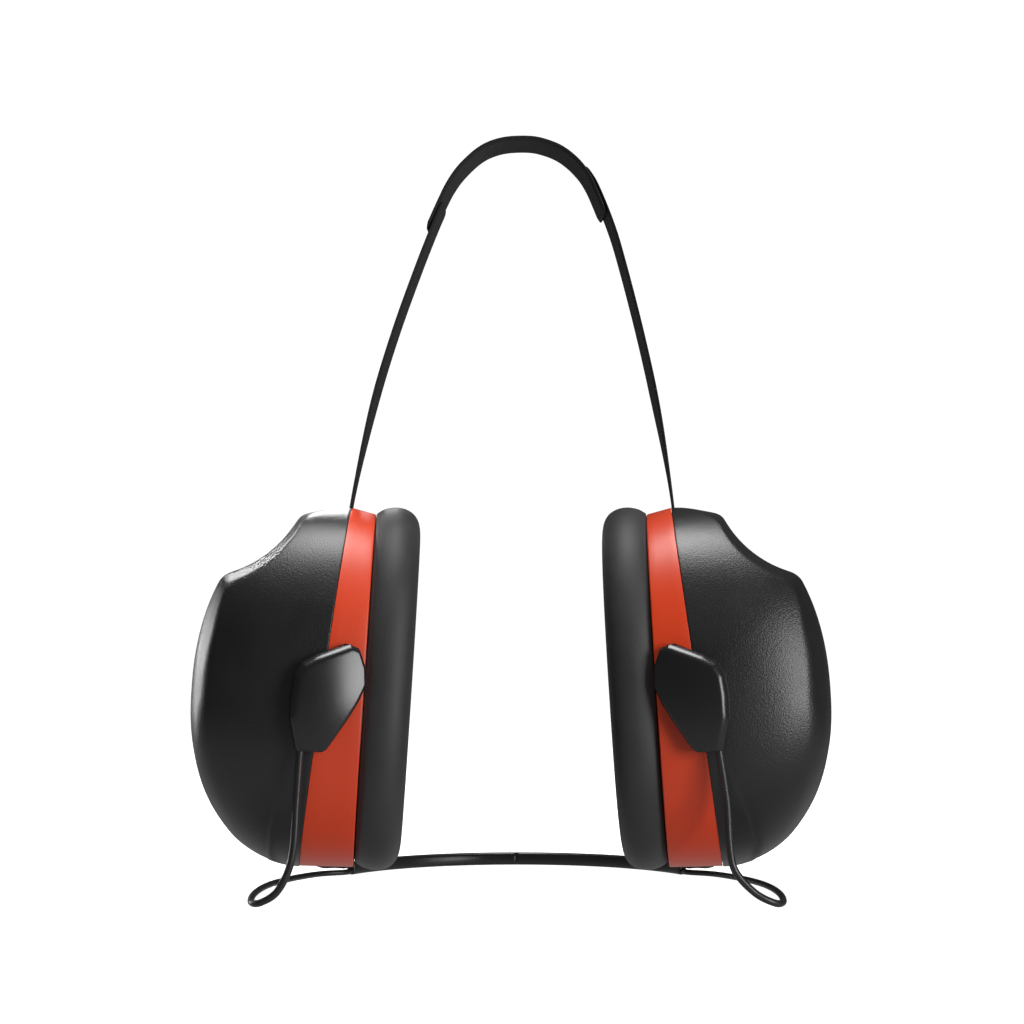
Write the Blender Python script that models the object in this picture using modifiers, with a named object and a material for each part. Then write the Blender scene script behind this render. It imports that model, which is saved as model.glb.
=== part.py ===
"""Hearing protector with two ear cups on a sprung wire neckband and a fabric head strap.

The wearer's front is -Y, the neckband passes behind the neck at +Y, and +Z is up.
All sizes are in metres. The origin is at the bottom centre of the object's box.
"""
import math

import bmesh
import bpy
from mathutils import Matrix, Vector

MM = 0.001
GAP = 0.3 * MM

# Midpoint between the two seal planes
MIDDLE = Vector((-0.08, -9.57, 59.0)) * MM

# How a cup is held: distance of its seal plane from the middle, lean and toe-in
SEAL_X = 29.9 * MM
LEAN = math.radians(3.5)
TOE = {-1: math.radians(3.2), 1: math.radians(4.6)}

# Cup outline, measured from its widest line, which is a little below the middle
WIDEST_V = -4.0 * MM
CUP_TOP = 55.6 * MM
CUP_BOTTOM = 49.6 * MM
CUP_DEPTH = 43.0 * MM
OVAL_POWER = 2.4
AROUND = 40
SHELL_STEPS = 10
CAVITY_STEPS = 7
WELD = 0.00001

# Stations along the cup's own axis, from the face that meets the head
RING_U = 13.3 * MM
SPLIT_U = 25.5 * MM
SPLIT_SLOPE = 8.3 / 106.0
CROWN_U = 62.8 * MM
SHELL_WALL = 3.0 * MM
RING_WALL = 3.0 * MM
RING_DRAFT = 1.5 * MM
RING_DRAFT_BELOW = 0.5 * MM
RING_DRAFT_ASIDE = 0.6 * MM
SIDE_POWER = 3.0
EDGE_POWER = 2.22

# The round scoop across the top outer corner of the shell
SCOOP_U = 64.3 * MM
SCOOP_V = 60.0 * MM
SCOOP_RADIUS = 31.3 * MM

# Ear cushion: its section as millimetres in from its outer edge and out from the seal plane
CUSHION_OVERHANG = 0.9 * MM
CUSHION_SHORTFALL = 0.5 * MM
CUSHION_OUTER_EDGE = ((2.4, 13.0), (0.7, 12.2), (0.0, 10.6), (0.0, 5.4), (0.45, 3.4), (1.7, 1.6), (3.4, 0.45))
CUSHION_FACE = ((5.5, 0.0), (15.5, 0.0))
CUSHION_INNER_EDGE = ((18.4, 0.7), (20.2, 2.4), (21.0, 5.0), (21.0, 11.2), (19.4, 13.0))

# Seal plate, ear opening and sound-absorbing foam
EAR_TOP = 33.0 * MM
EAR_BOTTOM = 27.0 * MM
EAR_DEPTH = 20.5 * MM
PLATE_U = (13.6 * MM, 15.6 * MM)
FOAM_U = (34.0 * MM, 50.0 * MM)
FOAM_SIZE = (28.0 * MM, 30.0 * MM, 26.0 * MM)

# Pivots at the front and the rear of each cup
PIVOT_U = 21.0 * MM
PIVOT_V = 0.5 * MM
PIN_RADIUS = 2.2 * MM
PIN_HEAD_RADIUS = 4.0 * MM
PIN_HEAD_W = (37.8 * MM, 39.2 * MM)
PIN_TIP_W = 46.8 * MM
PIN_CHAMFER = 0.6 * MM
PIN_HOLE_REACH = 50.0 * MM
COVER_W = (43.5 * MM, 48.8 * MM)
COVER_EDGE = 1.0 * MM
WIRE_SEAT_W = 46.15 * MM
WIRE_SEAT = ((28.6 * MM, -8.0 * MM), (29.4 * MM, -17.8 * MM))

# Wires, sleeve and the line that the arms open about
WIRE_RADIUS = 1.0 * MM
SLEEVE_RADIUS = 58.6 * MM
SLEEVE_CENTRE_Y = 10.4 * MM
SLEEVE_END_X = 51.5 * MM
BAND_SWAY = 1.5 * MM
SWAY_FROM_Z = -49.0
SWAY_FULL_Z = -57.5
SLEEVE_Z = -57.0 * MM
SLEEVE_HEIGHT = 4.0 * MM
SLEEVE_THICK = 2.8 * MM
ARM_HINGE_X = 12.0 * MM
ARM_HINGE_Y = 67.7 * MM

# Head strap
STRAP_WIDTH = 16.0 * MM
STRAP_THICK = 1.2 * MM
STRAP_Y = -0.9 * MM
SLOT_U = 20.8 * MM
SLOT_V = 50.0 * MM
SLOT_SIZE = (3.6 * MM, 17.4 * MM, 12.0 * MM)
ANCHOR_SIZE = (3.0 * MM, 20.0 * MM, 2.6 * MM)
ANCHOR_V = 44.4 * MM

BLACK = (0.012, 0.012, 0.013)
SATIN_BLACK = (0.016, 0.016, 0.017)
CUSHION_BLACK = (0.03, 0.03, 0.031)
ORANGE = (0.60, 0.050, 0.018)
FOAM_GREY = (0.10, 0.10, 0.105)
STEEL = (0.55, 0.55, 0.56)


def clear_scene():
    for old in list(bpy.data.objects):
        bpy.data.objects.remove(old, do_unlink=True)


def collection(name):
    made = bpy.data.collections.new(name)
    bpy.context.scene.collection.children.link(made)
    return made


def material(name, colour, roughness, metallic=0.0):
    made = bpy.data.materials.new(name)
    made.use_nodes = True
    shader = made.node_tree.nodes["Principled BSDF"]
    shader.inputs["Base Color"].default_value = (*colour, 1.0)
    shader.inputs["Roughness"].default_value = roughness
    shader.inputs["Metallic"].default_value = metallic
    return made


def add_part(name, mesh, colour, roughness, metallic=0.0):
    mesh.materials.append(material(name, colour, roughness, metallic))
    part = bpy.data.objects.new(name, mesh)
    PARTS.objects.link(part)
    return part


def add_cutter(name, mesh):
    cutter = bpy.data.objects.new(name, mesh)
    CUTTERS.objects.link(cutter)
    cutter.hide_render = True
    cutter.display_type = "WIRE"
    return cutter


def cut(part, cutter):
    boolean = part.modifiers.new("cut", "BOOLEAN")
    boolean.operation = "DIFFERENCE"
    boolean.object = cutter


def to_mesh(name, bm, smooth_below=30.0):
    bmesh.ops.recalc_face_normals(bm, faces=bm.faces)
    mesh = bpy.data.meshes.new(name)
    bm.to_mesh(mesh)
    bm.free()
    mesh.shade_smooth()
    mesh.set_sharp_from_angle(angle=math.radians(smooth_below))
    return mesh


def add_empty(name, parent, place):
    empty = bpy.data.objects.new(name, None)
    PARTS.objects.link(empty)
    empty.parent = parent
    empty.matrix_local = place
    return empty


def signed_power(value, power):
    return math.copysign(abs(value) ** power, value)


def split_u(v):
    """The slanted plane between the colour ring and the shell."""
    return SPLIT_U - v * SPLIT_SLOPE


def oval(top, bottom, depth):
    """Points (v, w) round an oval that is fuller than an ellipse."""
    points = []
    for step in range(AROUND):
        angle = 2.0 * math.pi * step / AROUND
        up = signed_power(math.sin(angle), 2.0 / OVAL_POWER)
        across = signed_power(math.cos(angle), 2.0 / OVAL_POWER)
        points.append((WIDEST_V + up * (top if up > 0 else bottom), across * depth))
    return points


def ring_of(side, points, station):
    """An oval's points in the cup's frame, with the station a number or a function of v."""
    place = station if callable(station) else lambda v: station
    return [Vector((side * place(v), w, v)) for v, w in points]


def bridge(bm, first, second):
    for a in range(len(first)):
        b = (a + 1) % len(first)
        bm.faces.new((first[a], first[b], second[b], second[a]))


def looped_band(name, rings):
    """A closed body with a hole through it, from rings that lead back to the first."""
    bm = bmesh.new()
    rows = [[bm.verts.new(p) for p in ring] for ring in rings]
    for first, second in zip(rows, rows[1:] + rows[:1]):
        bridge(bm, first, second)
    return to_mesh(name, bm)


def capped_stack(name, rings):
    """A solid from rings, with a flat cap on the first and on the last."""
    bm = bmesh.new()
    rows = [[bm.verts.new(p) for p in ring] for ring in rings]
    for first, second in zip(rows, rows[1:]):
        bridge(bm, first, second)
    bm.faces.new(rows[0])
    bm.faces.new(rows[-1])
    return to_mesh(name, bm)


def dome(name, side, inset, base_shift, steps):
    """The cup's outer form, or the same form inset by a wall, closed by a flat base."""
    bm = bmesh.new()
    rows = []
    base = oval(CUP_TOP - inset, CUP_BOTTOM - inset, CUP_DEPTH - inset)
    crown = CROWN_U - inset
    for step in range(steps):
        turn = 0.5 * math.pi * step / steps
        row = []
        for v, w in base:
            share = (w / (CUP_DEPTH - inset)) ** 2
            power = EDGE_POWER + (SIDE_POWER - EDGE_POWER) * share
            along = math.sin(turn) ** (2.0 / power)
            spread = math.cos(turn) ** (2.0 / power)
            start = split_u(v) + base_shift
            u = start + (crown - start) * along
            height = WIDEST_V + (v - WIDEST_V) * spread
            row.append(bm.verts.new((side * u, w * spread, height)))
        rows.append(row)
    for first, second in zip(rows, rows[1:]):
        bridge(bm, first, second)
    tip = bm.verts.new((side * crown, 0.0, WIDEST_V))
    for a in range(AROUND):
        bm.faces.new((rows[-1][a], rows[-1][(a + 1) % AROUND], tip))
    bm.faces.new(rows[0])
    return to_mesh(name, bm)


def rod_mesh(name, radius, low, high, segments=24):
    """A cylinder along Y from low to high."""
    bm = bmesh.new()
    bmesh.ops.create_cone(
        bm, cap_ends=True, segments=segments, radius1=radius, radius2=radius, depth=high - low
    )
    turn = Matrix.Rotation(math.radians(90.0), 4, "X")
    bmesh.ops.transform(bm, matrix=Matrix.Translation((0, (low + high) / 2, 0)) @ turn, verts=bm.verts)
    return to_mesh(name, bm)


def box_mesh(name, size):
    bm = bmesh.new()
    bmesh.ops.create_cube(bm, size=1.0)
    bmesh.ops.scale(bm, vec=size, verts=bm.verts)
    return to_mesh(name, bm)


def smooth_path(points, per_span):
    """A Catmull-Rom curve through hand-placed points."""
    ends = [points[0] * 2 - points[1], *points, points[-1] * 2 - points[-2]]
    line = []
    for i in range(1, len(ends) - 2):
        a, b, c, d = ends[i - 1 : i + 3]
        for step in range(per_span):
            t = step / per_span
            bend = (a * 2 - b * 5 + c * 4 - d) * t**2 + (b * 3 - a - c * 3 + d) * t**3
            line.append((b * 2 + (c - a) * t + bend) * 0.5)
    return line + [points[-1]]


def wire(name, points, radius):
    """A round wire as a curve with filled caps."""
    curve = bpy.data.curves.new(name, "CURVE")
    curve.dimensions = "3D"
    spline = curve.splines.new("POLY")
    spline.points.add(len(points) - 1)
    for target, point in zip(spline.points, points):
        target.co = (*point, 1.0)
    curve.bevel_depth = radius
    curve.bevel_resolution = 2
    curve.use_fill_caps = True
    return curve


def ribbon(name, path, direction, width, thick):
    """A strip whose middle line is path and whose width runs along direction."""
    bm = bmesh.new()
    line = [bm.verts.new(point - direction * width / 2) for point in path]
    edges = [bm.edges.new(pair) for pair in zip(line, line[1:])]
    grown = bmesh.ops.extrude_edge_only(bm, edges=edges)["geom"]
    moved = [v for v in grown if isinstance(v, bmesh.types.BMVert)]
    bmesh.ops.translate(bm, vec=direction * width, verts=moved)
    mesh = bpy.data.meshes.new(name)
    bm.to_mesh(mesh)
    bm.free()
    return mesh


def thicken(part, thick):
    solid = part.modifiers.new("thickness", "SOLIDIFY")
    solid.thickness = thick
    solid.offset = 0.0
    solid.use_even_offset = True


def place_in_cup(part, cup, side):
    """The cup's empty sits on its pivot line; its pieces are drawn from the seal plane."""
    part.parent = cup
    part.location = (-side * PIVOT_U, 0.0, -PIVOT_V)


def cup_matrix(side):
    """Frame of a cup at its seal plane, with X outwards on the right-hand cup."""
    turn = Matrix.Rotation(-side * TOE[side], 4, "Z") @ Matrix.Rotation(-side * LEAN, 4, "Y")
    return Matrix.Translation(MIDDLE + Vector((side * SEAL_X, 0.0, 0.0))) @ turn


def build_shell(prefix, side, cup):
    shell = add_part(prefix + "cup_shell", dome(prefix + "shell", side, 0.0, GAP, SHELL_STEPS), BLACK, 0.42)
    place_in_cup(shell, cup, side)
    cavity = add_cutter(prefix + "cavity", dome(prefix + "cavity", side, SHELL_WALL, -MM, CAVITY_STEPS))
    place_in_cup(cavity, cup, side)
    half = CUP_DEPTH * 1.3
    for name, growth, target in (("scoop", 0.0, shell), ("scoop_inside", SHELL_WALL, cavity)):
        tool = add_cutter(prefix + name, rod_mesh(prefix + name, SCOOP_RADIUS + growth, -half, half, 48))
        tool.parent = cup
        tool.location = (side * (SCOOP_U - PIVOT_U), 0.0, SCOOP_V - PIVOT_V)
        cut(target, tool)
    cut(shell, cavity)
    slot = add_cutter(prefix + "strap_slot", box_mesh(prefix + "slot", SLOT_SIZE))
    slot.parent = cup
    slot.location = (side * (SLOT_U - PIVOT_U), 0.0, SLOT_V - PIVOT_V)
    cut(shell, slot)
    return slot


def build_ring(prefix, side, cup, slot):
    high = (CUP_TOP, CUP_BOTTOM, CUP_DEPTH)
    low = (CUP_TOP - RING_DRAFT, CUP_BOTTOM - RING_DRAFT_BELOW, CUP_DEPTH - RING_DRAFT_ASIDE)
    outer_low, outer_high = oval(*low), oval(*high)
    inner_low = oval(*(size - RING_WALL for size in low))
    inner_high = oval(*(size - RING_WALL for size in high))
    rings = [
        ring_of(side, outer_low, RING_U),
        ring_of(side, outer_high, split_u),
        ring_of(side, inner_high, split_u),
        ring_of(side, inner_low, RING_U),
    ]
    ring = add_part(prefix + "colour_ring", looped_band(prefix + "ring", rings), ORANGE, 0.38)
    place_in_cup(ring, cup, side)
    rod = rod_mesh(prefix + "holes", PIN_RADIUS + GAP, -PIN_HOLE_REACH, PIN_HOLE_REACH)
    hole = add_cutter(prefix + "pin_holes", rod)
    hole.parent = cup
    cut(ring, hole)
    cut(ring, slot)


def build_seal(prefix, side, cup):
    """The plate that closes the ring round the ear opening, and the cushion on it."""
    room = RING_WALL + RING_DRAFT + GAP
    outer = oval(CUP_TOP - room, CUP_BOTTOM - room + MM, CUP_DEPTH - room + RING_DRAFT_ASIDE)
    opening = oval(EAR_TOP, EAR_BOTTOM, EAR_DEPTH)
    low, high = PLATE_U
    rings = [
        ring_of(side, outer, low),
        ring_of(side, outer, high),
        ring_of(side, opening, high),
        ring_of(side, opening, low),
    ]
    plate = add_part(prefix + "seal_plate", looped_band(prefix + "plate", rings), SATIN_BLACK, 0.5)
    place_in_cup(plate, cup, side)

    loop = CUSHION_OUTER_EDGE + CUSHION_FACE + CUSHION_INNER_EDGE
    rings = []
    for inset, station in loop:
        inwards = inset * MM
        aside = CUP_DEPTH - CUSHION_SHORTFALL - inwards
        edge = oval(CUP_TOP + CUSHION_OVERHANG - inwards, CUP_BOTTOM - inwards, aside)
        rings.append(ring_of(side, edge, station * MM))
    cushion = add_part(prefix + "ear_cushion", looped_band(prefix + "cushion", rings), CUSHION_BLACK, 0.55)
    place_in_cup(cushion, cup, side)


def build_foam(prefix, side, cup):
    edge = oval(*FOAM_SIZE)
    rings = [ring_of(side, edge, station) for station in FOAM_U]
    foam = add_part(prefix + "foam_liner", capped_stack(prefix + "foam", rings), FOAM_GREY, 0.95)
    place_in_cup(foam, cup, side)


def build_pin(name, end, cup):
    """A headed pivot pin, turned about Y; end is -1 at the front and 1 at the rear."""
    outline = [
        (0.0, PIN_HEAD_W[0]),
        (PIN_HEAD_RADIUS, PIN_HEAD_W[0]),
        (PIN_HEAD_RADIUS, PIN_HEAD_W[1]),
        (PIN_RADIUS, PIN_HEAD_W[1]),
        (PIN_RADIUS, PIN_TIP_W - PIN_CHAMFER),
        (PIN_RADIUS - PIN_CHAMFER, PIN_TIP_W),
        (0.0, PIN_TIP_W),
    ]
    bm = bmesh.new()
    line = [bm.verts.new((radius, end * w, 0.0)) for radius, w in outline]
    edges = [bm.edges.new(pair) for pair in zip(line, line[1:])]
    bmesh.ops.spin(
        bm, geom=line + edges, cent=(0, 0, 0), axis=(0, 1, 0), angle=2 * math.pi, steps=24, use_merge=True
    )
    bmesh.ops.remove_doubles(bm, verts=bm.verts, dist=WELD)
    pin = add_part(name, to_mesh(name, bm), STEEL, 0.3, 1.0)
    pin.parent = cup


def build_anchor(prefix, side, cup):
    """The toggle bar that keeps the strap's end from pulling out of the cup's slot."""
    mesh = box_mesh(prefix + "anchor", ANCHOR_SIZE)
    anchor = add_part(prefix + "strap_anchor", mesh, SATIN_BLACK, 0.5)
    anchor.parent = cup
    anchor.location = (side * (SLOT_U - PIVOT_U), 0.0, ANCHOR_V - PIVOT_V)


def cover_outline():
    """Corners of a pivot cover: a leaning shield with its point at the top."""
    corners = (
        (18.7, 11.9), (15.1, 10.5), (13.0, 5.2), (12.6, 0.6), (14.6, -4.4), (17.1, -9.0),
        (22.2, -17.4), (23.5, -18.3), (30.2, -18.3), (31.2, -17.2), (33.1, -9.6),
        (33.2, -3.0), (32.6, 2.6), (30.8, 6.0), (27.2, 8.2),
    )
    return [(u * MM, v * MM) for u, v in corners]


def build_cover(name, side, end, arm, cup_frame):
    back, front = COVER_W
    bm = bmesh.new()
    outline = [bm.verts.new((side * u, end * back, v)) for u, v in cover_outline()]
    face = bm.faces.new(outline)
    grown = bmesh.ops.extrude_face_region(bm, geom=[face])["geom"]
    moved = [v for v in grown if isinstance(v, bmesh.types.BMVert)]
    bmesh.ops.translate(bm, vec=(0, end * (front - back), 0), verts=moved)
    outer = [g for g in grown if isinstance(g, bmesh.types.BMEdge)]
    bmesh.ops.bevel(bm, geom=outer, offset=COVER_EDGE, segments=2, profile=0.5, affect="EDGES")
    cover = add_part(name, to_mesh(name, bm), SATIN_BLACK, 0.3)
    cover.parent = arm
    cover.matrix_parent_inverse = arm.matrix_world.inverted()
    cover.matrix_basis = cup_frame

    low, high = sorted((end * (back - 2 * MM), end * (PIN_TIP_W + GAP)))
    pocket = add_cutter(name + "_pin_hole", rod_mesh(name + "_pin_hole", PIN_RADIUS + GAP, low, high))
    pocket.matrix_world = cup_frame @ Matrix.Translation((side * PIVOT_U, 0, PIVOT_V))
    cut(cover, pocket)
    return cover


def seat_points(side, end, cup_frame):
    """Where a wire's end lies inside its cover, in world coordinates."""
    return [cup_frame @ Vector((side * u, end * WIRE_SEAT_W, v)) for u, v in WIRE_SEAT]


def wire_channel(name, cover, ends):
    top, bottom = ends
    along = (bottom - top).normalized()
    curve = wire(name, [top - along * GAP, bottom + along * 4 * MM], WIRE_RADIUS + GAP)
    holder = bpy.data.objects.new(name, curve)
    CUTTERS.objects.link(holder)
    bpy.context.view_layer.update()
    mesh = bpy.data.meshes.new_from_object(holder.evaluated_get(bpy.context.evaluated_depsgraph_get()))
    bpy.data.objects.remove(holder, do_unlink=True)
    bm = bmesh.new()
    bm.from_mesh(mesh)
    bmesh.ops.remove_doubles(bm, verts=bm.verts, dist=WELD)
    cut(cover, add_cutter(name, to_mesh(name, bm)))


def headset_point(side, x, y, z):
    """A point given in millimetres from the midpoint between the cups."""
    return MIDDLE + Vector((side * x, y, z)) * MM


def band_point(side, x, y, z):
    """A point of the neckband, which stands a little to the right of the cups."""
    share = min(1.0, max(0.0, (SWAY_FROM_Z - z) / (SWAY_FROM_Z - SWAY_FULL_Z)))
    return headset_point(side, x, y, z) + Vector((BAND_SWAY * share, 0.0, 0.0))


def front_wire_route(side, ends):
    """Down from the front cover, outwards, then back under the cup to the sleeve."""
    route = (
        (58.7, -47.6, -30.0), (59.4, -47.6, -42.0), (60.9, -47.6, -49.0), (65.1, -47.6, -54.8),
        (69.9, -46.9, -57.6), (72.7, -43.4, -58.0), (74.1, -32.0, -57.9), (74.4, -18.0, -57.9),
        (73.5, -5.0, -57.9), (71.2, 7.0, -57.9), (66.7, 19.5, -57.9), (60.5, 30.0, -57.9),
    )
    return ends + [band_point(side, *point) for point in route]


def rear_wire_route(side, ends):
    """Down from the rear cover, in a bend under the cup's back edge to the sleeve."""
    route = (
        (63.4, 44.6, -31.0), (64.0, 44.4, -42.0), (64.0, 43.2, -49.8), (62.7, 40.2, -54.8),
        (59.9, 37.4, -56.0), (56.2, 36.4, -55.9),
    )
    return ends + [band_point(side, *point) for point in route]


def sleeve_exit(side, clear, height):
    """A point on the sleeve's line, clear of its end face, at a height in millimetres."""
    angle = math.asin(SLEEVE_END_X / SLEEVE_RADIUS) + clear / SLEEVE_RADIUS
    x = side * SLEEVE_RADIUS * math.sin(angle) + BAND_SWAY
    y = SLEEVE_CENTRE_Y + SLEEVE_RADIUS * math.cos(angle)
    return MIDDLE + Vector((x, y, height * MM))


def build_arm(prefix, side, arm, cup_frame):
    bare = (("front", -1, front_wire_route, -57.9), ("rear", 1, rear_wire_route, -55.9))
    for label, end, route, height in bare:
        cover = build_cover(prefix + label + "_pivot_cover", side, end, arm, cup_frame)
        ends = seat_points(side, end, cup_frame)
        wire_channel(prefix + label + "_channel", cover, ends)
        exit_points = [sleeve_exit(side, clear, height) for clear in (4 * MM, GAP)]
        line = smooth_path(route(side, ends) + exit_points, 3)
        curve = wire(prefix + label + "_wire", line, WIRE_RADIUS)
        part = add_part(prefix + label + "_wire", curve, BLACK, 0.25)
        part.parent = arm
        part.matrix_parent_inverse = arm.matrix_world.inverted()


def build_sleeve(root):
    """The flat sleeve that holds both wires behind the neck."""
    reach = math.asin(SLEEVE_END_X / SLEEVE_RADIUS)
    steps = 26
    path = []
    for step in range(steps + 1):
        angle = reach * (2.0 * step / steps - 1.0)
        x = SLEEVE_RADIUS * math.sin(angle) + BAND_SWAY
        y = SLEEVE_CENTRE_Y + SLEEVE_RADIUS * math.cos(angle)
        path.append(MIDDLE + Vector((x, y, SLEEVE_Z)))
    mesh = ribbon("sleeve", path, Vector((0, 0, 1)), SLEEVE_HEIGHT, SLEEVE_THICK)
    sleeve = add_part("neckband_sleeve", mesh, SATIN_BLACK, 0.35)
    thicken(sleeve, SLEEVE_THICK)
    edge = sleeve.modifiers.new("edge", "BEVEL")
    edge.width = 0.9 * MM
    edge.segments = 2
    edge.limit_method = "ANGLE"
    edge.angle_limit = math.radians(60)
    sleeve.parent = root
    sleeve.matrix_parent_inverse = root.matrix_world.inverted()


def build_straps(root):
    """Three strips of webbing in one arch: two side straps lapped onto a crown strap."""
    routes = {
        "left_strap": (
            (-47.5, 47.6), (-47.5, 52.8), (-44.1, 69.9), (-39.7, 88.0), (-34.2, 106.0),
            (-27.6, 124.0), (-22.5, 136.4), (-19.5, 143.2),
        ),
        "right_strap": (
            (47.5, 47.6), (47.8, 52.8), (45.3, 69.9), (41.9, 88.0), (37.9, 106.0),
            (33.2, 124.2), (29.5, 136.2), (25.9, 148.0), (24.2, 151.8),
        ),
        "crown_strap": (
            (-23.9, 137.2), (-21.0, 143.6), (-18.1, 149.1), (-14.5, 154.0), (-9.0, 158.9),
            (-3.2, 161.3), (3.3, 161.9), (8.6, 161.3), (14.6, 158.9), (19.8, 154.5),
            (23.3, 149.0), (26.5, 140.4),
        ),
    }
    for name, route in routes.items():
        path = smooth_path([headset_point(1, x, STRAP_Y / MM, z) for x, z in route], 3)
        mesh = ribbon(name, path, Vector((0, 1, 0)), STRAP_WIDTH, STRAP_THICK)
        strap = add_part(name, mesh, BLACK, 0.85)
        thicken(strap, STRAP_THICK)
        strap.parent = root
        strap.matrix_parent_inverse = root.matrix_world.inverted()


def build_side(prefix, side, root):
    frame = cup_matrix(side)
    hinge = headset_point(side, ARM_HINGE_X / MM, ARM_HINGE_Y / MM, SLEEVE_Z / MM)
    arm = add_empty(prefix + "arm_hinge", root, Matrix.Translation(hinge))
    bpy.context.view_layer.update()
    pivot = frame @ Matrix.Translation((side * PIVOT_U, 0.0, PIVOT_V))
    cup = add_empty(prefix + "cup_pivot", arm, arm.matrix_world.inverted() @ pivot)
    bpy.context.view_layer.update()
    slot = build_shell(prefix, side, cup)
    build_ring(prefix, side, cup, slot)
    build_seal(prefix, side, cup)
    build_foam(prefix, side, cup)
    build_pin(prefix + "front_pivot_pin", -1, cup)
    build_pin(prefix + "rear_pivot_pin", 1, cup)
    build_anchor(prefix, side, cup)
    build_arm(prefix, side, arm, frame)


clear_scene()
PARTS = collection("hearing_protection_earmuffs")
CUTTERS = collection("cutters")
headset = add_empty("headset", None, Matrix.Identity(4))
build_side("left_", -1, headset)
build_side("right_", 1, headset)
build_sleeve(headset)
build_straps(headset)
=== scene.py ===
"""Looks of the hearing protector with a sprung neckband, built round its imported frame.

The frame is in metres, +Z up, and the wearer's front is -Y. The shapes of a cup are drawn in
millimetres in its own frame: u outwards from the seal plane, v up, w towards the rear.
"""

import math

import bpy
import numpy as np
from mathutils import Matrix, Vector


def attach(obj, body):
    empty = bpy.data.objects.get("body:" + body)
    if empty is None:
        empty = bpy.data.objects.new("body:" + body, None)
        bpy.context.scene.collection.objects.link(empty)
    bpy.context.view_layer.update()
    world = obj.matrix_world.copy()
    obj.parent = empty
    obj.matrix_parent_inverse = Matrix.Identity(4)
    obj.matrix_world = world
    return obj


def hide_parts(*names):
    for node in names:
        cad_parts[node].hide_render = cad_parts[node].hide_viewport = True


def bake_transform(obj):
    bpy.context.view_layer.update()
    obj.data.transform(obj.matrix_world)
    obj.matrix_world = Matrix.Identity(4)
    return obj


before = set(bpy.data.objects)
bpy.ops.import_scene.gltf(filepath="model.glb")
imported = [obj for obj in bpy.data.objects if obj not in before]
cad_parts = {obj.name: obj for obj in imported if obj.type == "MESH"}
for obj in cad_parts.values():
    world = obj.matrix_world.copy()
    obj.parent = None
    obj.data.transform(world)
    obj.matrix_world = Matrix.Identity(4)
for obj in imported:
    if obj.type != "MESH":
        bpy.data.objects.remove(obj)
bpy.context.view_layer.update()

MM = 0.001
GAP = 0.3
SIDES = (("left_", -1), ("right_", 1))

# The cups' places, as in the CAD
MIDDLE = np.array((-0.08, -9.57, 59.0))
SEAL_X = 29.9
LEAN = math.radians(3.5)
TOE = {-1: math.radians(3.2), 1: math.radians(4.6)}

# The cup's oval and its stations, as in the CAD
WIDEST_V = -4.0
CUP_TOP = 55.6
CUP_BOTTOM = 49.6
CUP_DEPTH = 43.0
OVAL_POWER = 2.4
RING_U = 13.3
SPLIT_U = 24.5
SPLIT_SLOPE = 8.3 / 106.0
CROWN_U = 62.8
SCOOP_U = 64.3
SCOOP_V = 60.0
SCOOP_RADIUS = 31.3

# ---------------------------------------------------------------- placing and meshing


def cup_frame(side):
    """The cup's frame in millimetres, with X outwards on the right-hand cup."""
    turn = Matrix.Rotation(-side * TOE[side], 4, "Z") @ Matrix.Rotation(-side * LEAN, 4, "Y")
    place = Vector(MIDDLE) + Vector((side * SEAL_X, 0.0, 0.0))
    return Matrix.Translation(place) @ turn


def from_cup(side, u, v, w):
    """World points in metres from a cup's own coordinates in millimetres."""
    local = np.stack(np.broadcast_arrays(side * np.asarray(u, float), w, v), -1)
    matrix = np.array(cup_frame(side))
    return (local @ matrix[:3, :3].T + matrix[:3, 3]) * MM


def headset_points(points):
    """World points in metres from millimetres off the midpoint between the cups."""
    return (np.asarray(points, float) + MIDDLE) * MM


def grid_faces(rows, columns, wrap_rows, wrap_columns):
    """Quads of a grid whose columns, rows or both lead back to the first."""
    r = np.arange(rows if wrap_rows else rows - 1)
    c = np.arange(columns if wrap_columns else columns - 1)
    a, b = np.meshgrid(r, c, indexing="ij")
    down, across = (a + 1) % rows, (b + 1) % columns
    quads = (a * columns + b, down * columns + b, down * columns + across, a * columns + across)
    return np.stack([q.ravel() for q in quads], -1)


def fan_faces(ring, centre, flip):
    """Triangles from a ring of points to one centre point."""
    after = np.roll(ring, -1)
    order = (after, ring) if flip else (ring, after)
    return [(int(a), int(b), centre) for a, b in zip(*order)]


def solid_volume(points, faces):
    """Signed volume within faces of three or four corners."""
    total = 0.0
    for size in (3, 4):
        chosen = np.array([f for f in faces if len(f) == size])
        for step in range(size - 2 if len(chosen) else 0):
            a, b, c = (points[chosen[:, k]] for k in (0, step + 1, step + 2))
            total += np.einsum("ij,ij->", a, np.cross(b, c)) / 6.0
    return total


def make_mesh(name, points, faces):
    """A smooth-shaded object from points and faces, turned so that its normals face out."""
    faces = [tuple(int(k) for k in f) for f in faces]
    if solid_volume(points, faces) < 0.0:
        faces = [f[::-1] for f in faces]
    mesh = bpy.data.meshes.new(name)
    mesh.from_pydata([tuple(p) for p in points], [], faces)
    mesh.update()
    mesh.shade_smooth()
    made = bpy.data.objects.new(name, mesh)
    bpy.context.scene.collection.objects.link(made)
    return made


def loop_solid(name, grid):
    """A ring-shaped solid: the grid's rows and its columns both lead back to the first."""
    rows, columns = grid.shape[:2]
    return make_mesh(name, grid.reshape(-1, 3), grid_faces(rows, columns, True, True))


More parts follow.
